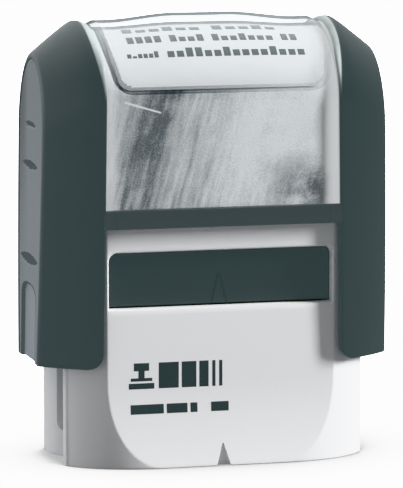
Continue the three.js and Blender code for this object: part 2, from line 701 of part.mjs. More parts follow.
addPart('base_housing', baseHousing(), whitePlastic());
addPart('handle_cap', handleCap(), darkPlastic());
addPart('grip_panel_left', gripPanel(-1), gripPlastic());
addPart('grip_panel_right', gripPanel(1), gripPlastic());
addPart('index_window', indexWindow(), clearPlastic());
addPart('index_label', indexLabel(), plastic(0xe2e2e0, 0.7));
addPart('index_card', indexCard(), plastic(0xc9cacc, 0.7));
addPart('bow', bow(), greyPlastic());
addPart('return_spring', returnSpring(), steel());
addPart('lock_button', lockButton(), darkPlastic());
addPart('die_holder', dieHolder(), greyPlastic());
addPart('die_foam', dieFoam(), plastic(0xd8d2b8, 0.9));
addPart('text_plate', textPlate(), plastic(0x7d3a34, 0.8));
addPart('ink_cassette', inkCassette(), darkPlastic());
addPart('ink_pad', inkPad(), plastic(0x22252b, 0.95));

export default stamp;
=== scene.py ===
# Self-inking stamp: finished shapes, materials, studio light and camera.
# Shapes are worked out in millimetres in the frame's axes: +X right, -Y front, +Z up.
from math import acos, copysign, cos, exp, hypot, pi, radians, sin, sqrt

import bmesh
import bpy
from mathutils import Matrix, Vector


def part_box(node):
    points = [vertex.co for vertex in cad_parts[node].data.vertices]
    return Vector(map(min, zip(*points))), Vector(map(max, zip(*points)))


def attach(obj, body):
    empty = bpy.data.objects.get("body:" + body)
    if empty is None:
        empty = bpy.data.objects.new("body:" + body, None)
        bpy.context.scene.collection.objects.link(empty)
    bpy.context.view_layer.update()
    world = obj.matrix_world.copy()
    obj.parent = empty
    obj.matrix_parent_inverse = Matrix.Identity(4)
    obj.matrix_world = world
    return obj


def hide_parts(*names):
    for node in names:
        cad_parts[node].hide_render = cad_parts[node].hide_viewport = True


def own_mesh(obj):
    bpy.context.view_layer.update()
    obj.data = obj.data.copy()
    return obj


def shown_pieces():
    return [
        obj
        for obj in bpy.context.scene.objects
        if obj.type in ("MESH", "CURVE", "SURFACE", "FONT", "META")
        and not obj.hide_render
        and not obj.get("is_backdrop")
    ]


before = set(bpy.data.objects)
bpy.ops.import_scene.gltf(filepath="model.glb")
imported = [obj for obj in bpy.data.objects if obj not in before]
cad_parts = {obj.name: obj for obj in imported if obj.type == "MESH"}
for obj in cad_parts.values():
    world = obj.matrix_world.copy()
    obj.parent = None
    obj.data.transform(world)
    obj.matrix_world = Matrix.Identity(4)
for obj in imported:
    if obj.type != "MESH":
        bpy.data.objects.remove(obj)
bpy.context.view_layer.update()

MM = 0.001
ALMOST = 0.999      # keeps a corner's last ring from shrinking to a point


# ------ small maths

def lerp(a, b, t):
    return a + (b - a) * t


def clamp(x, low=0.0, high=1.0):
    return min(max(x, low), high)


def smooth(t):
    t = clamp(t)
    return t * t * (3 - 2 * t)


def quadratic(a, b, c, t):
    return lerp(lerp(a, b, t), lerp(b, c, t), t)


def steps(a, b, n):
    return [a + (b - a) * i / n for i in range(n + 1)]


def chain(*runs):
    """Runs of values put end to end, without the repeated joints."""
    whole = list(runs[0])
    for run in runs[1:]:
        whole += list(run)[1:]
    return whole


def arc(x, y, radius, start, stop, n):
    """Points of an arc between two angles in degrees."""
    return [(x + radius * cos(a), y + radius * sin(a)) for a in steps(radians(start), radians(stop), n)]


def rounded_levels(low, high, radius, n):
    """Levels from low to high, each with its inset, of a body whose two ends are rounded."""
    end = [(radius * (1 - cos(a)), radius * (1 - sin(a))) for a in steps(0, pi / 2, n)]
    levels = [(low + rise, inset) for rise, inset in end]
    return levels + [(high - rise, inset) for rise, inset in reversed(end)]


def size_of(node):
    low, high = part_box(node)
    return low / MM, high / MM


# ------ sizes taken from the CAD

handle_low, handle_high = size_of("handle_cap")
base_high = size_of("base_housing")[1]
window_low, window_high = size_of("index_window")
label_high = size_of("index_label")[1]
card_high = size_of("index_card")[1]
cassette_low, cassette_high = size_of("ink_cassette")
pad_low, pad_high = size_of("ink_pad")
foam_low, foam_high = size_of("die_foam")
rubber_low, rubber_high = size_of("text_plate")
spring_low, spring_high = size_of("return_spring")

HALF_WIDTH = handle_high.x
HANDLE_FOOT = handle_low.z
OPENING = window_high.x + 0.1       # half width between the arms
CREST_X, CREST_Z = 17.3, handle_high.z
SPRING_Z = 46.0                     # where the front wall turns into the arch
SIDE_LEAN = 0.55 / 29
ARM_WALL = 1.15
BAR_BOTTOM, FRONT_BAR_TOP, REAR_BAR_TOP = 30.55, 32.9, 37.0
BAR_BACK, BAR_FACE = 10.25, 11.2
PANEL_FACE, FOOT_FACE, FLARE = 9.9, 11.35, 11.0
BASE_SIDE, BASE_TOP = base_high.x, 31.0


# ------ closed meshes

WELD = 1e-7         # metres within which corners are one


class Shell:
    """Closed skins gathered into one mesh."""

    def __init__(self):
        self.verts, self.faces, self.slots = [], [], []

    def face(self, corners, slot=0):
        self.faces.append(tuple(corners))
        self.slots.append(slot)

    def grid(self, rows, closed=False, slot=0, slot_of=None):
        first, n = len(self.verts), len(rows[0])
        for row in rows:
            self.verts += row
        for j in range(len(rows) - 1):
            for i in range(n if closed else n - 1):
                a, b = first + j * n + i, first + j * n + (i + 1) % n
                self.face((a, b, b + n, a + n), slot_of(i, j) if slot_of else slot)
        return first

    def tube(self, rings, slot=0, slot_of=None):
        """Skin through a stack of rings, closed by a flat cap at each end."""
        first = self.grid(rings, closed=True, slot=slot, slot_of=slot_of)
        n = len(rings[0])
        last = first + (len(rings) - 1) * n
        self.face(reversed(range(first, first + n)), slot)
        self.face(range(last, last + n), slot)

    def slab(self, us, vs, upper, lower, slot_of=None):
        """Closed sheet between two surfaces that are functions of u and v."""
        n, m = len(us), len(vs)
        top = self.grid([[upper(u, v) for u in us] for v in vs], slot_of=slot_of)
        low = self.grid([[lower(u, v) for u in us] for v in vs])
        rim = list(range(n)) + [j * n + n - 1 for j in range(1, m)]
        rim += [(m - 1) * n + i for i in range(n - 2, -1, -1)] + [j * n for j in range(m - 2, 0, -1)]
        for a, b in zip(rim, rim[1:] + rim[:1]):
            self.face((top + a, top + b, low + b, low + a))

    def brick(self, low, high, radius, cuts=3):
        """Block with rounded edges."""
        rings = []
        for z, inset in rounded_levels(low[2], high[2], radius, cuts):
            ring = []
            r = radius - inset * ALMOST
            for cx, cy, start in ((high[0], high[1], 0), (low[0], high[1], 90),
                                  (low[0], low[1], 180), (high[0], low[1], 270)):
                sx, sy = (1 if cx == high[0] else -1), (1 if cy == high[1] else -1)
                ring += [(x, y, z) for x, y in
                         arc(cx - sx * radius, cy - sy * radius, r, start, start + 90, cuts)]
            rings.append(ring)
        self.tube(rings)


def new_object(name, data):
    obj = bpy.data.objects.new(name, data)
    bpy.context.scene.collection.objects.link(obj)
    return obj


def build(name, shell):
    """Mesh object of a shell, with shared corners welded and faces turned outwards."""
    mesh = bpy.data.meshes.new(name)
    mesh.from_pydata([tuple(c * MM for c in v) for v in shell.verts], [], shell.faces)
    mesh.polygons.foreach_set("material_index", shell.slots)
    work = bmesh.new()
    work.from_mesh(mesh)
    bmesh.ops.remove_doubles(work, verts=work.verts, dist=WELD)
    bmesh.ops.recalc_face_normals(work, faces=work.faces)
    work.to_mesh(mesh)
    work.free()
    return new_object(name, mesh)


def carve(obj, tools):
    """Cuts closed shells out of a piece, one after another."""
    cutters = [build("cutter", tool) for tool in tools]
    obj.modifiers.new("caps", "TRIANGULATE").min_vertices = 5
    for cutter in cutters:
        cut = obj.modifiers.new("cut", "BOOLEAN")
        cut.operation, cut.solver, cut.object = "DIFFERENCE", "EXACT", cutter
    bpy.context.view_layer.update()
    shape = obj.evaluated_get(bpy.context.evaluated_depsgraph_get())
    mesh = bpy.data.meshes.new_from_object(shape)
    obj.modifiers.clear()
    obj.data = mesh
    for cutter in cutters:
        bpy.data.objects.remove(cutter)
    return obj


def join(obj, shell):
    """Adds more closed shells to a piece."""
    extra = build("extra", shell)
    work = bmesh.new()
    work.from_mesh(obj.data)
    work.from_mesh(extra.data)
    work.to_mesh(obj.data)
    work.free()
    bpy.data.objects.remove(extra)
    return obj


def dress(obj, materials, body, nodes, sharp=32):
    """Shading, materials, the body it rides on and the CAD nodes it stands for."""
    for material in materials:
        obj.data.materials.append(material)
    obj.data.shade_smooth()
    obj.data.set_sharp_from_angle(angle=radians(sharp))
    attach(obj, body)
    if nodes:
        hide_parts(*nodes)
    return obj


# ------ node materials

class Tree:
    """A node tree with short calls for the nodes used here."""

    def __init__(self, node_tree, coords="Object"):
        self.nodes, self.links = node_tree.nodes, node_tree.links
        self.coords = self.nodes.new("ShaderNodeTexCoord").outputs[coords]

    def put(self, value, socket):
        if isinstance(value, bpy.types.NodeSocket):
            self.links.new(value, socket)
        else:
            socket.default_value = value

    def node(self, kind, values):
        """Adds a node and fills its sockets, given by number or by name."""
        node = self.nodes.new("ShaderNode" + kind)
        for key, value in values.items():
            self.put(value, node.inputs[key])
        return node

    def math(self, operation, *values):
        node = self.node("Math", dict(enumerate(values)))
        node.operation = operation
        return node.outputs[0]

    def product(self, first, *others):
        for other in others:
            first = self.math("MULTIPLY", first, other)
        return first

    def total(self, first, *others):
        for other in others:
            first = self.math("ADD", first, other)
        return first

    def fit(self, value, low, high, out_low=0.0, out_high=1.0):
        """Maps a value from low..high to out_low..out_high with soft ends."""
        node = self.node("MapRange", dict(enumerate((value, low, high, out_low, out_high))))
        node.interpolation_type = "SMOOTHSTEP"
        return node.outputs[0]

    def axes(self):
        return tuple(self.node("SeparateXYZ", {0: self.coords}).outputs)

    def combine(self, x, y, z):
        return self.node("CombineXYZ", {0: x, 1: y, 2: z}).outputs[0]

    def noise(self, scale, detail=3.0, rough=0.5, vector=None):
        values = {"Vector": vector or self.coords, "Scale": scale, "Detail": detail, "Roughness": rough}
        return self.node("TexNoise", values).outputs["Fac"]

    def mix(self, share, a, b):
        node = self.nodes.new("ShaderNodeMix")
        node.data_type = "RGBA"
        for key, value in ((0, share), (6, a), (7, b)):
            self.put(value, node.inputs[key])
        return node.outputs[2]

    def shader(self, kind, **values):
        return self.node(kind, values).outputs[0]

    def blend(self, share, a, b):
        """One shader turning into another."""
        return self.node("MixShader", {0: share, 1: a, 2: b}).outputs[0]


class Finish(Tree):
    """A new material's tree; sizes in it are in metres, as the frame is."""

    def __init__(self, name):
        self.material = bpy.data.materials.new(name)
        self.material.use_nodes = True
        super().__init__(self.material.node_tree)
        self.bsdf = self.nodes["Principled BSDF"]

    def set(self, **values):
        """Fills sockets of the plain surface; an underscore stands for a space."""
        for key, value in values.items():
            self.put(value, self.bsdf.inputs[key.replace("_", " ")])

    # Painted light: an emission that stands in for light falling on the surface.
    def painted_glow(self, colour):
        self.set(Emission_Color=colour, Emission_Strength=1.0)

    def bump(self, height, depth):
        """Relief of a depth given in millimetres."""
        relief = self.node("Bump", {"Strength": 1.0, "Distance": depth * MM, "Height": height})
        self.set(Normal=relief.outputs[0])

    def show(self, shader):
        """Uses a shader of its own in place of the plain surface."""
        self.nodes.remove(self.bsdf)
        self.put(shader, self.nodes["Material Output"].inputs["Surface"])


PLASTIC_GRAIN, PAPER_GRAIN = 2600, 5200      # noise scales, per metre
DARK = (0.005, 0.008, 0.008)
DARK_PAINTED_LIGHT = (0.0565, 0.0740, 0.0755)         # painted light: an even glow that stands in for the soft light on the dark plastic
BLACK = (0.0, 0.0, 0.0, 1.0)


def shade(colour, factor):
    return tuple(c * factor for c in colour[:3]) + (1.0,)


def plastic(name, colour, rough, mottle=0.04, relief=0.004, specular=0.5, painted_glow=None):
    """Moulded plastic: faint flow mottling, an uneven sheen and a fine spark-eroded grain."""
    tree = Finish(name)
    fine = tree.noise(PLASTIC_GRAIN, 2)
    blend = tree.total(tree.product(tree.noise(90, 4, 0.6), 0.7), tree.product(fine, 0.3))
    tree.set(Base_Color=tree.mix(blend, shade(colour, 1 - mottle), shade(colour, 1 + mottle)),
             Roughness=tree.fit(blend, 0.25, 0.75, rough - 0.05, rough + 0.06),
             Specular_IOR_Level=specular)
    # Painted light: an emission that lifts the plastic evenly in place of soft light.
    if painted_glow:
        tree.painted_glow(painted_glow + (1.0,))
    tree.bump(fine, relief)
    return tree.material


def painted_highlight_edge(name, bright):
    """The arm's inner edge over the arch: a painted highlight band that widens towards the top, dark beyond it.
    """
    tree = Finish(name)
    x, _, z = tree.axes()
    limit = tree.fit(z, 46.5 * MM, 56.0 * MM, 15.32 * MM, 16.3 * MM)
    past = tree.math("SUBTRACT", tree.math("ABSOLUTE", x), limit)
    highlight_band = tree.product(tree.fit(past, 0.12 * MM, -0.12 * MM),
                        tree.fit(tree.noise(300), 0.3, 0.7, 0.75, 1.0),
                        tree.fit(z, 46.3 * MM, 50.5 * MM))
    tree.set(Base_Color=tree.mix(highlight_band, shade(DARK, 1), bright), Roughness=0.36)
    # Outside the painted highlight the dark plastic's painted glow is kept.
    tree.painted_glow(tree.mix(highlight_band, shade(DARK_PAINTED_LIGHT, 1), BLACK))
    tree.bump(tree.noise(PLASTIC_GRAIN, 2), 0.003)
    return tree.material


def soft_grip(name, colour, painted_glow):
    """Soft-touch inlay: a matt skin with a slightly coarser grain, painted shade towards its rear edge and top,
    and a painted glow in place of soft light.
    """
    tree = Finish(name)
    grain = tree.noise(3400, 2, 0.6)
    blend = tree.total(tree.product(tree.noise(160, 4, 0.6), 0.5), tree.product(grain, 0.5))
    _, y, z = tree.axes()
    # Painted shade: darker towards the rear edge, where the face turns away from the light, and towards the top.
    rear = tree.product(tree.fit(y, 0.0, 5.4 * MM), tree.fit(z, 24 * MM, 46 * MM, 0.14, 0.80))
    painted_grip_shade = tree.math("MAXIMUM", rear, tree.fit(z, 30 * MM, 50 * MM, 0.0, 0.22))
    even = tree.mix(blend, shade(colour, 0.93), shade(colour, 1.07))
    tree.set(Base_Color=tree.mix(painted_grip_shade, even, shade(colour, 0.35)),
             Roughness=tree.fit(grain, 0.3, 0.7, 0.56, 0.68), Sheen_Weight=0.06)
    # The painted glow is dimmed by the same painted shade.
    tree.painted_glow(tree.mix(painted_grip_shade, shade(painted_glow, 1), shade(painted_glow, 0.35)))
    tree.bump(grain, 0.012)
    return tree.material


def clear_film(name, tint, haze, left=None):
    """Clear plastic: see-through and glossy, with painted shade where the camera sees it edge on. haze is the
    share of milky white in it, which grows towards both sides; on the right-hand side that share is a painted
    shine in place of light the plastic gathers. left tints the half that turns away from the light, as painted
    shade."""
    tree = Finish(name)
    x = tree.axes()[0]
    # left: painted shade on the half turned away from the light.
    if left:
        tint = tree.mix(tree.fit(x, -8 * MM, 13 * MM), left, tint)
    ray = tree.nodes.new("ShaderNodeLightPath").outputs
    seen = ray["Is Camera Ray"]
    facing = tree.node("LayerWeight", {"Blend": 0.5}).outputs["Facing"]
    # Painted shade where the sheet is seen edge on, for camera rays only.
    edge_on = tree.product(tree.fit(facing, 0.70, 0.78), seen)
    mirror = tree.total(tree.product(tree.math("POWER", facing, 4.0), 0.9), 0.03)
    mirror = tree.product(mirror, tree.math("MULTIPLY_ADD", edge_on, -0.9, 1.0),
                          tree.math("SUBTRACT", 1.0, ray["Is Shadow Ray"]))
    # Milky haze towards both sides, raised on the right, where it becomes the painted shine.
    sides = tree.fit(tree.math("ABSOLUTE", x), 13.0 * MM, 14.6 * MM, haze, max(haze, 0.36))
    sides = tree.total(tree.product(tree.fit(x, 12.6 * MM, 14.0 * MM), 0.22), sides)
    milk = tree.shader("BsdfDiffuse", Color=(0.78, 0.79, 0.80, 1))
    painted_shine = tree.shader("Emission", Color=(0.70, 0.715, 0.72, 1))
    edge_on_painted_shade = tree.shader("BsdfDiffuse", Color=(0.20, 0.22, 0.23, 1))
    polish = tree.fit(tree.noise(500), 0.3, 0.7, 0.05, 0.09)
    haze_and_painted_shine = tree.blend(tree.fit(x, 12.6 * MM, 13.6 * MM), milk, painted_shine)
    body = tree.blend(tree.product(sides, seen), tree.shader("BsdfTransparent", Color=tint), haze_and_painted_shine)
    wall = tree.blend(tree.product(edge_on, 0.94), body, edge_on_painted_shade)
    tree.show(tree.blend(mirror, wall, tree.shader("BsdfGlossy", Color=(1, 1, 1, 1), Roughness=polish)))
    return tree.material


def paper(name, colour):
    tree = Finish(name)
    fibre = tree.noise(PAPER_GRAIN, 3, 0.7)
    tree.set(Base_Color=tree.mix(fibre, shade(colour, 0.96), shade(colour, 1.03)), Roughness=0.62)
    tree.bump(fibre, 0.01)
    return tree.material


def printed_card(name):
    """Card with a halftone print: slanting smoky streaks, darker on the left and in the lower right corner,
    and one light scratch."""
    tree = Finish(name)
    x, _, z = tree.axes()
    slant = tree.math("SUBTRACT", x, tree.product(tree.math("SUBTRACT", z, 40 * MM), 0.26))
    flow = tree.combine(slant, 0.0, tree.product(z, 0.10))
    hair = tree.noise(1100, 3, 0.6, flow)
    cloud = tree.noise(150, 4, 0.6, tree.combine(slant, 0.0, z))
    patchy = tree.product(tree.total(tree.noise(330, 3, 0.5, flow), cloud), 0.5)
    blot = tree.product(tree.fit(slant, -14.5 * MM, -10.0 * MM), tree.fit(slant, -5.4 * MM, -9.0 * MM),
                        tree.fit(z, 32.5 * MM, 39 * MM, 0.5, 1.0), tree.fit(patchy, 0.36, 0.62, 0.34, 0.72))
    middle = tree.product(tree.fit(slant, 5.0 * MM, -5.0 * MM), 0.32, tree.fit(hair, 0.25, 0.75, 0.5, 1.5))
    corner = tree.product(tree.fit(x, 3 * MM, 12 * MM), tree.fit(z, 41 * MM, 35 * MM),
                          tree.fit(cloud, 0.36, 0.60, 0.0, 0.78))
    low = tree.product(tree.fit(z, 41 * MM, 33.5 * MM, 0.0, 0.14), tree.fit(hair, 0.35, 0.68))
    dark = tree.total(blot, middle, corner, low, tree.fit(hair, 0.45, 0.8, 0.0, 0.10),
                      tree.fit(cloud, 0.42, 0.66, -0.03, 0.12))
    line = tree.math("MULTIPLY_ADD", x, -0.30, 42.7 * MM)
    off_line = tree.math("ABSOLUTE", tree.math("SUBTRACT", z, line))
    scratch = tree.product(tree.fit(off_line, 0.17 * MM, 0.06 * MM), tree.fit(x, -12.8 * MM, -12.4 * MM),
                           tree.fit(x, -7.8 * MM, -8.2 * MM))
    dark = tree.math("MINIMUM", tree.math("SUBTRACT", dark, scratch), 1.0)
    grain = tree.noise(PAPER_GRAIN, 2, 0.8)
    tone = tree.total(dark, tree.fit(grain, 0.25, 0.75, -0.16, 0.20))
    tree.set(Base_Color=tree.mix(tone, (0.78, 0.785, 0.795, 1), (0.095, 0.115, 0.125, 1)), Roughness=0.5)
    tree.bump(grain, 0.004)
    return tree.material


def wire_steel(name):
    tree = Finish(name)
    x, y, z = tree.axes()
    drawn = tree.noise(700, 3, 0.6, tree.combine(x, y, tree.product(z, 6)))
    tree.set(Base_Color=tree.mix(drawn, (0.42, 0.43, 0.45, 1), (0.60, 0.61, 0.63, 1)), Metallic=1.0,
             Roughness=tree.fit(drawn, 0.3, 0.7, 0.22, 0.38))
    tree.bump(drawn, 0.004)
    return tree.material


def cellular(name, colour, rough, cell, relief, dark=0.75):
    """Foam, felt or rubber: an open or matt texture of small cells."""
    tree = Finish(name)
    pores = tree.node("TexVoronoi", {"Vector": tree.coords, "Scale": cell}).outputs["Distance"]
    tone = tree.product(tree.fit(pores, 0.1, 0.6), tree.noise(cell * 0.3, 4, 0.7))
    tree.set(Base_Color=tree.mix(tone, shade(colour, dark), shade(colour, 1.1)), Roughness=rough)
    tree.bump(pores, relief)
    return tree.material


def ink(name, colour):
    """Screen-printed ink: flat and dense, with tiny pinholes."""
    tree = Finish(name)
    speckle = tree.noise(4200, 2, 0.7)
    tree.set(Base_Color=tree.mix(tree.fit(speckle, 0.62, 0.8), shade(colour, 1.0), shade(colour, 1.9)),
             Roughness=tree.fit(speckle, 0.3, 0.7, 0.42, 0.55))
    return tree.material


white_plastic = plastic("white_plastic", (0.81, 0.812, 0.82), 0.42, mottle=0.012, relief=0.003, specular=0.4)
dark_plastic = plastic("dark_plastic", DARK, 0.42, mottle=0.05, relief=0.006, painted_glow=DARK_PAINTED_LIGHT)
edge_highlight_plastic = painted_highlight_edge("edge_highlight_plastic", (0.44, 0.49, 0.48, 1))
# The crossbar: the dark plastic with a stronger painted glow, lighter where the bar catches more light.
bar_plastic = plastic("bar_plastic", DARK, 0.42, mottle=0.05, relief=0.006, painted_glow=(0.068, 0.083, 0.086))
cassette_plastic = plastic("cassette_plastic", DARK, 0.46, mottle=0.05, relief=0.005, painted_glow=DARK_PAINTED_LIGHT)
grip_plastic = soft_grip("grip_plastic", (0.139, 0.157, 0.169), (0.076, 0.085, 0.091))
# Flat dark finish that paints the shade in the grip's dimples, along its recess rim and along its rear edge.
grip_shade_plastic = plastic("grip_shade_plastic", DARK, 0.85, 0.05, specular=0.06, painted_glow=(0.098, 0.116, 0.122))
recess_plastic = soft_grip("recess_plastic", (0.174, 0.193, 0.210), (0.095, 0.106, 0.115))
grey_plastic = plastic("grey_plastic", (0.26, 0.28, 0.285), 0.45, mottle=0.04)
clear_plastic = clear_film("clear_plastic", (0.975, 0.985, 0.985, 1), 0.02)
# Lens bevel and its edge lines: tints that paint the shade the refracting bevel shows, darker on the left.
bevel_shade_plastic = clear_film("bevel_shade_plastic", (0.84, 0.85, 0.86, 1), 0.05, left=(0.50, 0.53, 0.54, 1))
line_shade_plastic = clear_film("line_shade_plastic", (0.80, 0.81, 0.82, 1), 0.05, left=(0.28, 0.31, 0.32, 1))
label_paper = paper("label_paper", (0.69, 0.69, 0.70))
card_print = printed_card("card_print")
label_ink = ink("label_ink", (0.10, 0.115, 0.12))
panel_ink = ink("panel_ink", (0.062, 0.082, 0.084))
spring_steel = wire_steel("spring_steel")
foam = cellular("foam", (0.72, 0.66, 0.48), 0.9, 2600, 0.06)
rubber = cellular("rubber", (0.33, 0.10, 0.075), 0.75, 6000, 0.01, dark=0.9)
felt = cellular("felt", (0.020, 0.022, 0.030), 0.95, 3600, 0.08, dark=0.6)


# ------ handle surface

def section(x):
    """Half depths and heights of the handle's arched section at a distance x from the middle."""
    side = clamp((abs(x) - OPENING) / (HALF_WIDTH - OPENING))
    outside = max(abs(x) - CREST_X, 0)
    inside = min(max(CREST_X - abs(x), 0), 1.8)
    return (quadratic(11.1, 9.4, 5.8, side), quadratic(11.4, 10.3, 7.4, side), lerp(SPRING_Z, 42.5, side),
            CREST_Z - 0.78 * outside ** 2 / (outside + 0.6) - 0.1 * inside ** 2)


def swell(v):
    """Share of a wall's bulge that is reached at a share v of its height."""
    return 1 - (1 - v) ** 1.6


def lean(x, z):
    """The sides lean inwards as they rise."""
    return x * (1 - SIDE_LEAN * (z - HANDLE_FOOT) / HALF_WIDTH)


def arm_point(side, x, inset, q):
    """Point of an arm's skin. q is 0 at the front foot, 1 to 3 over the arch and 4 at the rear foot."""
    foot, half, spring, ridge = section(x)
    wall = q if q <= 1 else (4 - q if q >= 3 else 1)
    if wall < 1:
        z = lerp(HANDLE_FOOT, spring, wall)
        y = lerp(foot, half, swell(wall)) - inset
    else:
        turn = (q - 1) / 2 * pi
        y = (half - inset) * cos(turn)
        z = spring + (ridge - spring - inset) * sin(turn)
    if wall < 1 and q > 2:
        y = -y
    return (side * lean(x, z), -y, z)


def arch_share(q):
    """How far up the arch a station q is: 0 on the walls and 1 at the top."""
    return sin((q - 1) / 2 * pi) if 1 < q < 3 else 0


GRIP_RIM = 0.66     # rim of the pocket that holds a grip
POCKET_FLOOR = 21.75
OUTER_EDGE = 0.3    # rounding between an arm's skin and its side
CORNER = 2.0        # radius of the arm's lower inner corner
LIP = 0.35          # rounding of the arm's lower edge
INNER_EDGE = range(2, 9)    # the profile's points along the rounded inner edge


def arm_profile(edge, depth):
    """Closed turn of an arm's skin as (distance from the middle, inset, push away from the foot's edge)."""
    quarter = steps(0, pi / 2, 6)
    turn = [(OPENING, ARM_WALL, (1, 0)), (OPENING, max(depth * 1.05, 0.85), (1, 0))]
    turn += [(OPENING + edge * (1 - cos(a)), depth * (1 - sin(a)), (cos(a), sin(a))) for a in quarter]
    turn += [(x, 0, (0, 1)) for x in steps(OPENING + edge, HALF_WIDTH - 0.32, 18)[1:]]
    turn += [(HALF_WIDTH - OUTER_EDGE * (1 - sin(a)), OUTER_EDGE * (1 - cos(a)), (-sin(a), cos(a)))
             for a in quarter[1:]]
    turn += [(HALF_WIDTH, GRIP_RIM - 0.03, (-1, 0)), (HALF_WIDTH - 0.06, GRIP_RIM, (0, 0)),
             (POCKET_FLOOR, GRIP_RIM, (0, 0))]
    turn += [(21.4, ARM_WALL, (0, -1))] + [(x, ARM_WALL, (0, -1)) for x in steps(20.8, OPENING + 0.9, 8)]
    return turn


def arm(side):
    """Rings of one arm's closed loft, with its outer skin, rounded edges, pocket wall and inner skin, and
    the function that picks each face's finish."""
    lip = [(LIP * (1 - cos(radians(a))), LIP * (1 - sin(radians(a)))) for a in (0, 20, 40, 60, 75, 90)]
    height = SPRING_Z - HANDLE_FOOT
    wall = chain(steps(LIP, 2.4, 9), steps(2.4, height, 26))[1:-1]
    front = [(z / height, shrink) for z, shrink in lip + [(z, 0) for z in wall]]
    rows = front + [(q, 0) for q in steps(1, 3, 84)] + [(4 - q, shrink) for q, shrink in reversed(front)]
    rings = []
    for q, shrink in rows:
        share = min(q, 4 - q, 1)
        rounding = smooth((arch_share(q) - 0.45) / 0.45)
        edge, depth = lerp(0.42, 1.35, rounding), lerp(0.42, 0.80, rounding)
        above = min(share * height, CORNER)
        pull = CORNER - sqrt(CORNER ** 2 - (CORNER - above) ** 2)
        ring = []
        for x, inset, (outward, inward) in arm_profile(edge, depth):
            x = HALF_WIDTH - (HALF_WIDTH - x) * (HALF_WIDTH - OPENING - pull) / (HALF_WIDTH - OPENING)
            ring.append(arm_point(side, x + outward * shrink, inset + inward * shrink, q))
        rings.append(ring)

    # Slot 1 is the painted highlight along the inner edge over the arch.
    def finish_at(i, j):
        return 1 if arch_share(rows[j][0]) > 0 and i in INNER_EDGE else 0

    return rings, finish_at


def side_outline(inset, sweep):
    """Outline (y, z) of a side face: upright walls that close in an arch."""
    foot, half, spring, ridge = section(HALF_WIDTH)
    wall = [(lerp(foot, half, swell(v)) - inset, lerp(HANDLE_FOOT, spring, v)) for v in steps(0, 1, sweep)]
    arch = [((half - inset) * cos(a), spring + (ridge - spring - inset) * sin(a))
            for a in steps(0, pi / 2, 2 * sweep)[1:]]
    front = wall + arch
    return [(-y, z) for y, z in front] + [(y, z) for y, z in reversed(front[:-1])]


def arch_ring(half, rise, low, n=48, rear_low=None):
    """Open line (y, z) over the arch, from the front foot to the rear foot."""
    line = [(-half, low)] + [(-half, z) for z in steps(low, SPRING_Z, 10)[1:-1]]
    line += [(-half * cos(a), SPRING_Z + rise * sin(a)) for a in steps(0, pi, n)]
    end = low if rear_low is None else rear_low
    return line + [(half, z) for z in steps(SPRING_Z, end, 10)[1:]]


def rounded_bar(shell, x_half, y0, y1, z0, z1, radius):
    """Bar along X with rounded long edges."""
    ring = []
    for cy, cz, start in ((y1 - radius, z1 - radius, 0), (y0 + radius, z1 - radius, 90),
                          (y0 + radius, z0 + radius, 180), (y1 - radius, z0 + radius, 270)):
        ring += arc(cy, cz, radius, start, start + 90, 4)
    shell.tube([[(x, y, z) for y, z in ring] for x in (-x_half, x_half)])


DECK_LOW = 44.3     # lower edge of the arched deck under the card


def handle():
    """Both arms and the arched deck between them."""
    shell = Shell()
    for side in (-1, 1):
        rings, finish_at = arm(side)
        shell.tube(rings, slot_of=finish_at)
        outline = side_outline(0.4, 12)
        shell.tube([[(side * lean(x, z), y, z) for y, z in outline] for x in (21.3, POCKET_FLOOR)])
        wall = arch_ring(10.6, 8.7, DECK_LOW, 40)
        shell.tube([[(side * lean(x, z), y, z) for y, z in wall] for x in (OPENING + 0.12, OPENING + 1.2)])
    deck = arch_ring(10.15, 8.75, DECK_LOW, 40) + list(reversed(arch_ring(9.15, 7.75, DECK_LOW, 40)))
    shell.tube([[(x, y, z) for y, z in deck] for x in (-OPENING - 0.5, OPENING + 0.5)])
    return build("handle_shell", shell)


def front_bar():
    """Front crossbar, with an upright seam near each end."""
    shell = Shell()
    rounded_bar(shell, OPENING + 0.02, -BAR_FACE, -BAR_BACK, BAR_BOTTOM, FRONT_BAR_TOP, 0.2)
    seams = []
    seam_x, half, depth = 13.9, 0.06, 0.12
    for x in (-seam_x, seam_x):
        seam = Shell()
        seam.brick((x - half, -BAR_FACE - 0.5, BAR_BOTTOM - 0.3),
                   (x + half, -BAR_FACE + depth, FRONT_BAR_TOP + 0.3), half / 2)
        seams.append(seam)
    return carve(build("handle_front_bar", shell), seams)


def rear_bar():
    """Rear crossbar with the window for the lock button."""
    low, high = size_of("lock_button")
    shell = Shell()
    rounded_bar(shell, OPENING + 0.02, BAR_BACK, BAR_FACE, BAR_BOTTOM, REAR_BAR_TOP, 0.2)
    gap = 0.12
    tool = Shell()
    tool.brick((low.x - gap, BAR_BACK - 0.75, low.z - gap),
               (high.x + gap, BAR_FACE + 1.3, high.z + gap), 0.3)
    return carve(build("handle_rear_bar", shell), [tool])


RECESS_HALF, RECESS_SPRING, RECESS_TOP, RECESS_DEEP = 3.9, 20.6, 22.5, 0.45
DIMPLES = ((42.9, 2.8, 0.40, 0.16), (37.8, 4.2, 0.54, 0.20), (25.8, 4.9, 0.68, 0.24))
GRIP_EDGE = 0.2     # rounding of the grip's rim


def recess_edge(y, z):
    """Distance outside the outline of the grip's lower recess; negative inside it."""
    if z < RECESS_SPRING:
        return abs(y) - RECESS_HALF
    power = 2.6
    across, up = abs(y) / RECESS_HALF, (z - RECESS_SPRING) / (RECESS_TOP - RECESS_SPRING)
    return ((across ** power + up ** power) ** (1 / power) - 1) * lerp(RECESS_HALF, 2.0, clamp(up))


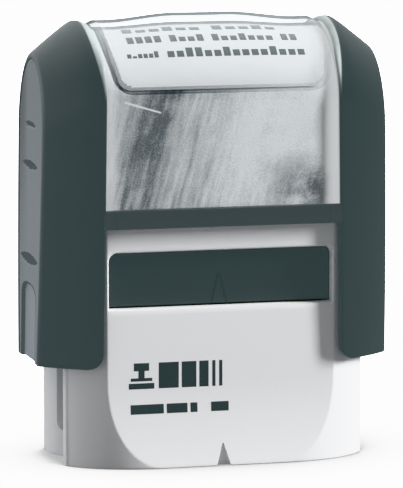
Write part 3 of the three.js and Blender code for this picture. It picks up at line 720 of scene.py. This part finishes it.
def dimple_depth(y, z):
    """Depth of the thumb dimples, each given by its height, half length, half width and depth."""
    depth = 0
    for height, length, half, deep in DIMPLES:
        limit = max(1 - (y / length) ** 2, 0)
        across = abs(z - height) / half / max(limit ** 0.7, 0.02)
        depth = max(depth, deep * sqrt(limit) * max(1 - across ** 2, 0))
    return depth


def grip_depth(y, z):
    """How deep the recess and the thumb dimples go below the grip's face."""
    return max(RECESS_DEEP * smooth((0.10 - recess_edge(y, z)) / 0.2), dimple_depth(y, z))


def grip(side):
    """Inlaid grip with a rounded rim, thumb dimples and an arched recess at its foot."""
    foot, half, spring, ridge = section(HALF_WIDTH)
    gap = GRIP_RIM + 0.07
    heights = chain(steps(0, 0.3, 5), steps(0.3, 8.2, 50), steps(8.2, spring - HANDLE_FOOT, 190))
    rows = [(HANDLE_FOOT + h, lerp(foot, half, swell(h / (spring - HANDLE_FOOT))) - gap) for h in heights]
    rows += [(spring + (ridge - spring - gap) * sin(a), (half - gap) * cos(a))
             for a in steps(0, radians(88.5), 64)[1:]]
    split = 0.72      # the column that runs straight down the side of the recess
    outer = [lerp(0.74, 1, sin(a)) for a in steps(0, pi / 2, 18)]
    right = chain(steps(0, 0.70, 30), steps(0.70, 0.74, 3), outer)
    across = [-u for u in reversed(right)][:-1] + right

    def spread(u, reach):
        line = min(RECESS_HALF, 0.77 * reach)
        if abs(u) < split:
            return u / split * line
        return copysign(lerp(line, reach, (abs(u) - split) / (1 - split)), u)

    def face(u, v):
        z, reach = rows[v]
        y = spread(u, reach)
        rim = min(reach - abs(y), z - HANDLE_FOOT)
        drop = GRIP_EDGE * (1 - sqrt(1 - (1 - clamp(rim / GRIP_EDGE)) ** 2))
        return (side * (lean(HALF_WIDTH - 0.04, z) - drop - grip_depth(y, z)), y, z)

    def back(u, v):
        z, reach = rows[v]
        return (side * lean(21.85, z), spread(u, reach), z)

    # Slot 2 paints shade along the recess rim, in the thumb dimples and along the rear edge; slot 1 is the
    # recess floor.
    def finish_at(i, j):
        z, reach = rows[j]
        y = spread((across[i] + across[i + 1]) / 2, reach)
        if -0.12 < recess_edge(y, z) < 0.25 or dimple_depth(y, z) > 0.012 or y > reach - 0.5:
            return 2
        return 1 if recess_edge(y, z) <= -0.12 else 0

    shell = Shell()
    shell.slab(across, range(len(rows)), face, back, slot_of=finish_at)
    return build("grip_left" if side < 0 else "grip_right", shell)


# ------ window, label and card

LENS_TURN = 9.6           # degrees up the arch at which the raised lens begins
LENS_BEVEL = 0.78         # width of the sloping edge of the lens
LENS_STEP = 0.42


def lens_reach(turn):
    """Half width of the lens at a turn up the arch: it widens towards the top."""
    return lerp(13.5, 14.9, smooth(sin(turn) * 1.1))


def lens_edge(x, turn):
    """Distance outside the lens's rounded outline, in millimetres; negative inside it."""
    radius, mean = 2.0, 10.4
    along = (min(turn, pi - turn) - radians(LENS_TURN)) * mean
    reach = lens_reach(turn)
    a, b = abs(x) - reach + radius, radius - along
    return hypot(max(a, 0), max(b, 0)) + min(max(a, b), 0) - radius


def window_line():
    """Stations along the window's section: ("front", z), ("arch", turn) and ("rear", z)."""
    line = [("front", z) for z in steps(window_low.z, SPRING_Z, 16)[:-1]]
    turns = chain(steps(0, radians(6), 4), steps(radians(6), radians(14), 26),
                  steps(radians(14), radians(90), 52))
    turns = turns + [pi - t for t in reversed(turns[:-1])]
    line += [("arch", t) for t in turns]
    line += [("rear", z) for z in steps(SPRING_Z, REAR_BAR_TOP + 0.1, 12)[1:]]
    return line


def crown(x, turn):
    """Swelling of the lens towards its middle."""
    return 0.75 * smooth((12.5 - abs(x)) / 9.0) * sin(turn) ** 1.5


def window_point(x, where, inner=False):
    kind, value = where
    half, rise = (10.55, 9.15) if inner else (11.0, 9.6)
    if kind == "front":
        return (x, -half, value)
    if kind == "rear":
        return (x, half, value)
    lift = crown(x, value) * (0.6 if inner else 1)
    if not inner:
        edge = lens_edge(x, value)
        lift += LENS_STEP * clamp(-edge / LENS_BEVEL) - 0.08 * exp(-((edge - 0.1) / 0.16) ** 2)
    c, s = cos(value), sin(value)
    return (x, -(half + lift) * c, SPRING_Z + (rise + lift) * s)


def index_window():
    """Bent clear sheet; its lens has a bevel in painted shade with a painted dark line outside it and, on the
    right, inside it.
    """
    line = window_line()
    edges = steps(11.4, window_high.x, 56)
    xs = [-x for x in reversed(edges)] + steps(-11.4, 11.4, 40)[1:-1] + edges

    # Slot 1 is the bevel in painted shade, slot 2 the painted dark line outside it and, on the right, inside it.
    def on_rim(i, j):
        kind, value = line[j]
        if kind != "arch":
            return 0
        x = (xs[i] + xs[i + 1]) / 2
        edge = lens_edge(x, value)
        if -0.04 < edge < 0.16 or (x > 12.4 and -LENS_BEVEL - 0.06 < edge < -LENS_BEVEL + 0.06):
            return 2
        return 1 if -LENS_BEVEL < edge <= -0.04 else 0

    shell = Shell()
    shell.slab(xs, range(len(line)), lambda x, j: window_point(x, line[j]),
               lambda x, j: window_point(x, line[j], inner=True), slot_of=on_rim)
    return build("window_sheet", shell)


def card():
    """Card behind the window, bent over the arch."""
    low, rear_low, outer, thickness = FRONT_BAR_TOP + 0.1, REAR_BAR_TOP + 0.1, 10.35, 0.15
    over = arch_ring(outer, outer - 1.4, low, 56, rear_low)
    under = arch_ring(outer - thickness, outer - 1.4 - thickness, low, 56, rear_low)
    shell = Shell()
    shell.slab(steps(-card_high.x, card_high.x, 24), range(len(over)), lambda x, j: (x,) + over[j],
               lambda x, j: (x,) + under[j])
    return build("card_sheet", shell)


def label_point(x, turn, above=0.0):
    lift = above + 0.5 * crown(x, turn)
    return (x, -(10.5 + lift) * cos(turn), SPRING_Z + (9.1 + lift) * sin(turn))


def label():
    """Paper label under the lens, narrower towards its rounded lower corners."""
    first, radius = radians(12.4), 1.4
    turns = chain(steps(first, first + 0.16, 14), steps(first + 0.16, pi / 2, 30))
    turns += [pi - t for t in reversed(turns[:-1])]

    def reach(turn):
        turn = min(turn, pi - turn)
        low = clamp(radius - (turn - first) * 10.2, 0, radius)
        widest = min(lens_reach(turn) - LENS_BEVEL + 0.2, label_high.x)
        return widest - radius + sqrt(radius ** 2 - low ** 2)

    shell = Shell()
    shell.slab(steps(-1, 1, 48), turns, lambda u, t: label_point(u * reach(t), t),
               lambda u, t: label_point(u * reach(t), t, -0.1))
    return build("label_sheet", shell)


MARK_OUT, MARK_IN = 0.012, 0.03     # how far printed marks reach above and below the surface


def label_marks():
    """Rows of plain blocks where an address would be printed."""
    shell = Shell()

    def block(x0, x1, low, high):
        shell.slab([x0, x1], steps(low, high, 2), lambda x, t: label_point(x, t, MARK_OUT),
                   lambda x, t: label_point(x, t, -MARK_IN))

    def row(x0, x1, low, tall, words):
        """One row between two turns in degrees; words gives each block's height in thirds of the row."""
        low, tall = radians(low), radians(tall)
        gap, width = 0.7, 0.74
        step = (x1 - x0) / sum(len(word) + gap for word in words)
        x = x0
        for word in words:
            for thirds in word:
                block(x, x + step * width, low, low + tall * thirds / 3)
                x += step
            x += step * gap

    row(-11.7, -7.0, 39.4, 6.0, ((2, 1, 2, 2, 2, 3),))
    row(-6.5, 12.6, 39.2, 8.6, ((2, 2, 3, 3, 2, 2, 3, 2, 2, 2, 2, 3, 2, 2, 2),))
    row(-11.2, 12.1, 54.6, 8.3, ((3, 3, 3, 3), (3, 2, 2, 3), (3, 2, 2, 3, 2, 2, 2), (3, 3)))
    row(-11.3, 10.4, 69.2, 8.0, ((3, 2, 2, 3, 2, 2), (3, 2, 2, 3, 2)))
    return build("label_marks", shell)


# ------ base housing

WING_X, WING_Y, WING_A, WING_B = 7.5, 3.35, 12.8, 8.0      # centre and half axes of the wing's ellipse
FOOT_ROUND = 0.15
WELL_X, WELL_Y = 15.1, 8.5                                 # half sizes of the hollow inside the base
OPENING_LOW, OPENING_TOP = 20.3, 27.45                     # the cut-out for the cassette
SIDE_STEP, CHANNEL = 4.8, 17.7                             # where the side channel starts, and its floor


def wing_face(x):
    """Depth of the foot's face: straight in the middle, an ellipse towards the sides."""
    return WING_Y + WING_B * sqrt(max(1 - ((x - WING_X) / WING_A) ** 2, 0)) if x > WING_X else FOOT_FACE


def panel_face(z):
    """Depth of the front panel, which flares out towards the foot."""
    return PANEL_FACE + (FOOT_FACE - PANEL_FACE) * max(1 - z / FLARE, 0) ** 2


def crease_x(z):
    """Where the front panel meets the wing at a height z."""
    share = clamp((panel_face(z) - WING_Y) / WING_B)
    return WING_X + WING_A * sqrt(1 - share ** 2)


def front_face(x, z):
    """Panel and wing, blended over a narrow crease."""
    a, b, soft = wing_face(abs(x)), panel_face(z), 0.05
    h = max(soft - abs(a - b), 0) / soft
    return min(a, b) - h * h * soft / 4


def base_turn(z):
    """One turn (x, y) of the base's outline at a height z, anticlockwise from the middle of the front."""
    crease = crease_x(max(z, FOOT_ROUND))
    run = chain(steps(0, max(crease - 0.6, 0.1), 12), steps(max(crease - 0.6, 0.1), crease + 0.6, 12))
    start = acos(clamp((crease + 0.6 - WING_X) / WING_A, -1, 1))
    stop = acos((BASE_SIDE - 0.25 - WING_X) / WING_A)
    run += [WING_X + WING_A * cos(a) for a in steps(start, stop, 16)[1:]]
    front = [(x, -front_face(x, z)) for x in run]
    end = front[-1][1]
    tip = [(BASE_SIDE - 0.25 + 0.25 * sin(a), end + 0.3 * (1 - cos(a)))
           for a in steps(radians(25), pi / 2, 5)]
    heel = arc(BASE_SIDE - 0.2, -SIDE_STEP - 0.2, 0.2, 0, 90, 4)
    floor = [(18.4, -SIDE_STEP), (17.9, -SIDE_STEP), (17.75, -4.72), (CHANNEL, -4.6)]
    floor += [(CHANNEL, y) for y in steps(-4.3, -0.9, 6)]
    lip = [(17.71, -0.6), (17.78, -0.3), (17.92, 0), (18.15, 0.33), (18.4, 0.62), (18.65, 0.93),
           (18.88, 1.3), (19.08, 1.7), (19.24, 2.15), (19.36, 2.6), (19.45, 3.0), (19.49, 3.4), (BASE_SIDE, 3.8)]
    rear = [(x, -y) for x, y in reversed(tip)] + [(x, -y) for x, y in reversed(front)]
    right = front + tip + heel + floor + lip + rear
    left = [(-x, y) for x, y in reversed(right)][1:-1]
    return right + left


def inset_turn(turn, by):
    """Moves a closed outline inwards along its own normals."""
    if by == 0:
        return turn
    moved = []
    for before, (x, y), after in zip(turn[-1:] + turn[:-1], turn, turn[1:] + turn[:1]):
        dx, dy = after[0] - before[0], after[1] - before[1]
        share = by / (hypot(dx, dy) or 1)
        moved.append((x - dy * share, y + dx * share))
    return moved


def base():
    """Housing with its cut-outs, the guide drum of the spring and the rails under the cassette."""
    shell = Shell()
    rounding = [(FOOT_ROUND * (1 - cos(radians(a))), FOOT_ROUND * (1 - sin(radians(a))))
                for a in (0, 22, 45, 67, 90)]
    walls = chain(steps(FOOT_ROUND, FLARE, 40), steps(FLARE, BASE_TOP - 0.3, 14))[1:]
    levels = rounding + [(z, 0) for z in walls]
    levels += [(BASE_TOP - drop, inset) for drop, inset in reversed(rounding[:-1])]
    shell.tube([[(x, y, z) for x, y in inset_turn(base_turn(z), inset)] for z, inset in levels])
    obj = carve(build("base_shell", shell), base_cuts())
    extra = Shell()
    drum(extra, 2.95, 29.0, 31.5, 0.25)
    for side in (-1, 1):
        x0, x1 = sorted((side * 14.45, side * 15.3))
        extra.brick((x0, -8.7, 19.5), (x1, 8.7, OPENING_LOW), 0.12)
    return join(obj, extra)


def drum(shell, radius, low, high, edge, n=48):
    """Round block, chamfered below and rounded above."""
    levels = [(low, edge), (low + edge, 0)] + rounded_levels(low, high, edge, 4)[5:]
    shell.tube([[(x, y, z) for x, y in arc(0, 0, radius - inset, 0, 360, n)[:-1]] for z, inset in levels])


def cut_out(face):
    """Opening for the cassette, with a rolled edge where it meets the panel."""
    rings = []
    for out, widen, heighten in ((-3, 0, 0), (-0.27, 0, 0), (-0.13, 0.05, 0.04), (-0.03, 0.13, 0.1),
                                 (0.04, 0.3, 0.24), (0.6, 0.9, 0.7)):
        y, corner = face * (PANEL_FACE + out), 1.1 + 0.6 * widen
        x, low, top = 14.62 + widen, OPENING_LOW - heighten, OPENING_TOP + heighten
        turn = [(-x, low), (x, low)] + arc(x - corner, top - corner, corner, 0, 90, 6)
        turn += arc(corner - x, top - corner, corner, 90, 180, 6)
        rings.append([(x, y, z) for x, z in turn])
    return rings


def notch(face):
    """Centre mark at the foot."""
    turn = ((-1.0, -0.2), (1.0, -0.2), (0.06, 2.85), (-0.06, 2.85))
    return [[(x, y, z) for x, z in turn] for y in (face * 10.4, face * 13.0)]


def side_slot(side):
    """Upright slot through the side wall, for the die's pivots."""
    half, low, top = 1.3, 4.5, 17.0
    turn = arc(0, top, half, 0, 180, 16) + arc(0, low, half, 180, 360, 16)
    return [[(side * x, y, z) for y, z in turn] for x in (14.0, 21.0)]


def base_cuts():
    """Hollow, well on top, cut-outs, foot notches and side slots."""
    hollow = ((-WELL_Y, -1), (-WELL_Y, OPENING_TOP), (WELL_Y, OPENING_TOP), (WELL_Y, -1))
    tunnel, well = Shell(), Shell()
    tunnel.tube([[(x, y, z) for y, z in hollow] for x in (-WELL_X, WELL_X)])
    well.brick((-WELL_X, -WELL_Y, 29.2), (WELL_X, WELL_Y, BASE_TOP + 2), 0.3)
    tools = [tunnel, well]
    for rings in (cut_out(-1), notch(-1), cut_out(1), notch(1), side_slot(-1), side_slot(1)):
        tool = Shell()
        tool.tube(rings)
        tools.append(tool)
    return tools


def panel_marks():
    """Generic print on the front panel: a press-down pictogram, graded blocks and a row of bars."""
    shell = Shell()

    def patch(x0, x1, z0, z1):
        zs = steps(z0, z1, max(2, int((z1 - z0) / 0.4)))
        shell.slab([x0, x1], zs, lambda x, z: (x, -panel_face(z) - MARK_OUT, z),
                   lambda x, z: (x, -panel_face(z) + MARK_IN, z))

    def stamp_pictogram(x, z, size):
        patch(x, x + size, z, z + size * 0.22)
        patch(x + size * 0.08, x + size * 0.92, z + size * 0.30, z + size * 0.42)
        patch(x + size * 0.38, x + size * 0.62, z + size * 0.42, z + size * 0.70)
        patch(x + size * 0.20, x + size * 0.80, z + size * 0.70, z + size)

    stamp_pictogram(-12.1, 10.1, 3.3)
    for x, width in ((-8.2, 2.6), (-5.2, 1.9), (-2.9, 1.2), (-1.2, 0.4), (-0.3, 0.4)):
        patch(x, x + width, 10.1, 13.4)
    for x, width in ((-11.9, 4.3), (-7.2, 2.7), (-4.1, 0.9), (-1.4, 2.3)):
        patch(x, x + width, 6.9, 8.1)
    return build("panel_marks", shell)


# ------ cassette, pad, die and spring

def rounded_front(low, high, corner, edge):
    """Block whose upper corners are rounded as seen from the front, with softened front and rear edges."""
    rings = []
    for y, inset in rounded_levels(low.y, high.y, edge, 4):
        turn = [(low.x + inset, low.z + inset), (high.x - inset, low.z + inset)]
        turn += arc(high.x - corner, high.z - corner, corner - inset, 0, 90, 6)
        turn += arc(low.x + corner, high.z - corner, corner - inset, 90, 180, 6)
        rings.append([(x, y, z) for x, z in turn])
    return rings


def cassette():
    """Tray that is open below, with an arrowhead groove on each end."""
    wall, edge = 0.7, 0.22
    shell = Shell()
    shell.tube(rounded_front(cassette_low, cassette_high, 0.75, edge))
    tray = Shell()
    tray.brick((cassette_low.x + wall, cassette_low.y + wall, 18.0),
               (cassette_high.x - wall, cassette_high.y - wall, pad_high.z + 0.1), 0.3)
    tools = [tray]
    for face in (-1, 1):
        y0, y1 = face * (cassette_high.y - edge), face * (cassette_high.y + 1)
        for side in (-1, 1):
            groove = Shell()
            line = [(side * 1.35, 19.9), (side * 0.95, 19.9), (side * -0.03, 24.25), (side * 0.20, 24.6)]
            groove.tube([[(x, y, z) for x, z in line] for y in (y0, y1)])
            tools.append(groove)
    return carve(build("cassette_shell", shell), tools)


def block(name, low, high, radius):
    shell = Shell()
    shell.brick(low, high, radius)
    return build(name, shell)


def text_plate():
    """Rubber sheet with raised, slightly tapered bars in place of lettering."""
    shell = Shell()
    z, top = rubber_low.z, rubber_high.z
    shell.brick(rubber_low, (rubber_high.x, rubber_high.y, z + 0.8), 0.12)
    rows = ((2.6, 1.5, ((-11.5, -5.2), (-4.2, 1.6), (2.6, 11.5))),
            (0.0, 1.2, ((-11.5, -8.0), (-7.0, 0.4), (1.4, 5.0), (6.0, 11.5))),
            (-2.6, 1.5, ((-11.5, -3.0), (-2.0, 4.8), (5.8, 11.5))))
    for y, height, words in rows:
        for x0, x1 in words:
            rings = []
            for level, out in ((z + 0.7, 0.16), (z + 0.95, 0.05), (top - 0.06, 0), (top, -0.06)):
                a, b, c, d = x0 - out, x1 + out, y - height / 2 - out, y + height / 2 + out
                rings.append([(a, c, level), (b, c, level), (b, d, level), (a, d, level)])
            shell.tube(rings)
    return build("rubber_plate", shell)


def spring_coil():
    """Helix that climbs more slowly towards its ends."""
    wire, radius, coils, per_coil, n, ease = 0.38, 4.0, 6.5, 48, 14, 0.75
    low, high = spring_low.z + wire, spring_high.z - wire
    rings = []
    count = int(coils * per_coil)
    full = 2 * pi
    for i in range(count + 1):
        t = i / count
        flat = t - sin(full * t) / full * ease
        a = full * coils * t
        out = Vector((cos(a), sin(a), 0))
        climb = (1 - cos(full * t) * ease) * (high - low) / (full * coils * radius)
        along = Vector((-sin(a), cos(a), climb)).normalized()
        up = out.cross(along)
        centre = Vector((radius * cos(a), radius * sin(a), lerp(low, high, flat)))
        cap = 0.55 if i in (0, count) else 1.0
        rings.append([tuple(centre + (out * cos(b) + up * sin(b)) * wire * cap)
                      for b in steps(0, full, n)[:-1]])
    shell = Shell()
    shell.tube(rings)
    return build("spring_coil", shell)


def keep_cad(node, material, width):
    """A CAD part shown as it is, with its edges softened."""
    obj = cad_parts[node]
    obj.data.materials.clear()
    obj.data.materials.append(material)
    edge = obj.modifiers.new("edges", "BEVEL")
    edge.width, edge.segments, edge.limit_method = width * MM, 3, "ANGLE"
    edge.angle_limit = radians(35)
    edge.use_clamp_overlap = True
    edge.harden_normals = True
    for polygon in obj.data.polygons:
        polygon.use_smooth = True


# ------ the stamp

dress(handle(), [dark_plastic, edge_highlight_plastic], "handle", ["handle_cap"])
dress(front_bar(), [bar_plastic], "handle", ())
dress(rear_bar(), [dark_plastic], "handle", ())
grip_finishes = [grip_plastic, recess_plastic, grip_shade_plastic]
for side, node in ((-1, "grip_panel_left"), (1, "grip_panel_right")):
    dress(grip(side), grip_finishes, "handle", [node], sharp=50)
window_finishes = [clear_plastic, bevel_shade_plastic, line_shade_plastic]
dress(index_window(), window_finishes, "window", ["index_window"], sharp=60)
dress(card(), [card_print], "handle", ["index_card"])
dress(label(), [label_paper], "handle", ["index_label"])
dress(label_marks(), [label_ink], "handle", ())
dress(base(), [white_plastic], "base", ["base_housing"], sharp=40)
dress(panel_marks(), [panel_ink], "base", ())
dress(cassette(), [cassette_plastic], "cassette", ["ink_cassette"])
dress(block("pad_felt", pad_low, pad_high, 0.25), [felt], "cassette", ["ink_pad"])
dress(block("foam_layer", foam_low, foam_high, 0.12), [foam], "die", ["die_foam"])
dress(text_plate(), [rubber], "die", ["text_plate"])
coil = dress(spring_coil(), [spring_steel], "base", ["return_spring"])
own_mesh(coil)
keep_cad("bow", grey_plastic, 0.15)
keep_cad("die_holder", grey_plastic, 0.15)
keep_cad("lock_button", dark_plastic, 0.08)


# ------ floor, light and camera

def white_floor():
    """Floor that the camera sees as a white glow, with a contact shadow painted in from ambient occlusion close
    to the stamp.
    """
    mesh = bpy.data.meshes.new("floor")
    far = 2.0
    mesh.from_pydata([(-far, -far, 0), (far, -far, 0), (far, far, 0), (-far, far, 0)], [], [(0, 1, 2, 3)])
    tree = Finish("floor_white")
    tone = tree.mix(tree.noise(40), (0.52, 0.52, 0.52, 1), (0.56, 0.56, 0.56, 1))
    paint = tree.shader("BsdfDiffuse", Color=tone)
    shelter = tree.node("AmbientOcclusion", {"Distance": 20 * MM})
    shelter.samples = 16
    bright = tree.product(tree.math("POWER", shelter.outputs["AO"], 3.0), 4.6)
    seen = tree.shader("Emission", Strength=tree.math("MAXIMUM", bright, 0.5))
    ray = tree.nodes.new("ShaderNodeLightPath").outputs
    tree.show(tree.blend(ray["Is Camera Ray"], paint, seen))
    mesh.materials.append(tree.material)
    new_object("floor", mesh)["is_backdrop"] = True


def room_light():
    """Room that is brighter behind, on the left and overhead; the camera sees it as plain white."""
    world = bpy.data.worlds.new("studio")
    bpy.context.scene.world = world
    world.use_nodes = True
    tree = Tree(world.node_tree, "Generated")
    x, y, z = tree.axes()
    behind = tree.product(tree.fit(y, -0.45, 0.55, 0.08, 1.25), tree.fit(x, -0.2, 0.8, 1.0, 0.45))
    low_left = tree.product(tree.fit(x, -0.3, -0.9), tree.fit(z, 0.1, 0.6, 1.0, 0.0))
    room = tree.nodes["Background"]
    tree.put((0.97, 0.985, 1.0, 1), room.inputs["Color"])
    tree.put(tree.total(behind, low_left, tree.fit(z, 0.2, 0.9, 0.0, 0.3)), room.inputs["Strength"])
    ray = tree.nodes.new("ShaderNodeLightPath").outputs
    shown = tree.blend(ray["Is Camera Ray"], room.outputs[0], tree.shader("Background", Strength=5.0))
    tree.put(shown, tree.nodes["World Output"].inputs["Surface"])


def direction(azimuth, height):
    """Unit vector from the stamp; azimuth 0 is the front and grows to the right."""
    return Vector((sin(azimuth) * cos(height), -cos(azimuth) * cos(height), sin(height)))


def key_light():
    """Tall soft light from the right that lights the stamp alone."""
    key = new_object("key", bpy.data.lights.new("key", "AREA"))
    key.data.shape = "RECTANGLE"
    key.data.size, key.data.size_y = 0.16, 0.66
    key.data.energy = 29
    key.visible_glossy = False
    azimuth, height, distance = radians(70.5), radians(26), 1.2
    aim = direction(azimuth, height)
    key.location = aim * distance
    key.rotation_euler = aim.to_track_quat("Z", "Y").to_euler()
    lit = bpy.data.collections.new("lit_by_key")
    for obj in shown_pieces():
        lit.objects.link(obj)
    key.light_linking.receiver_collection = lit


def long_lens():
    """Camera to the front left of the stamp and slightly above it."""
    camera = new_object("camera", bpy.data.cameras.new("camera"))
    turn, drop, distance, aim_z = radians(-14.857), radians(7.774), 0.5167, 0.0269
    camera.location = direction(turn, drop) * distance + Vector((0, 0, aim_z))
    camera.rotation_euler = (pi / 2 - drop, 0, turn)
    camera.data.lens, camera.data.sensor_width = 296.38, 36
    camera.data.clip_start, camera.data.clip_end = 0.01, 10
    bpy.context.scene.camera = camera


white_floor()
room_light()
key_light()
long_lens()
bpy.context.scene.view_settings.view_transform = "Khronos PBR Neutral"
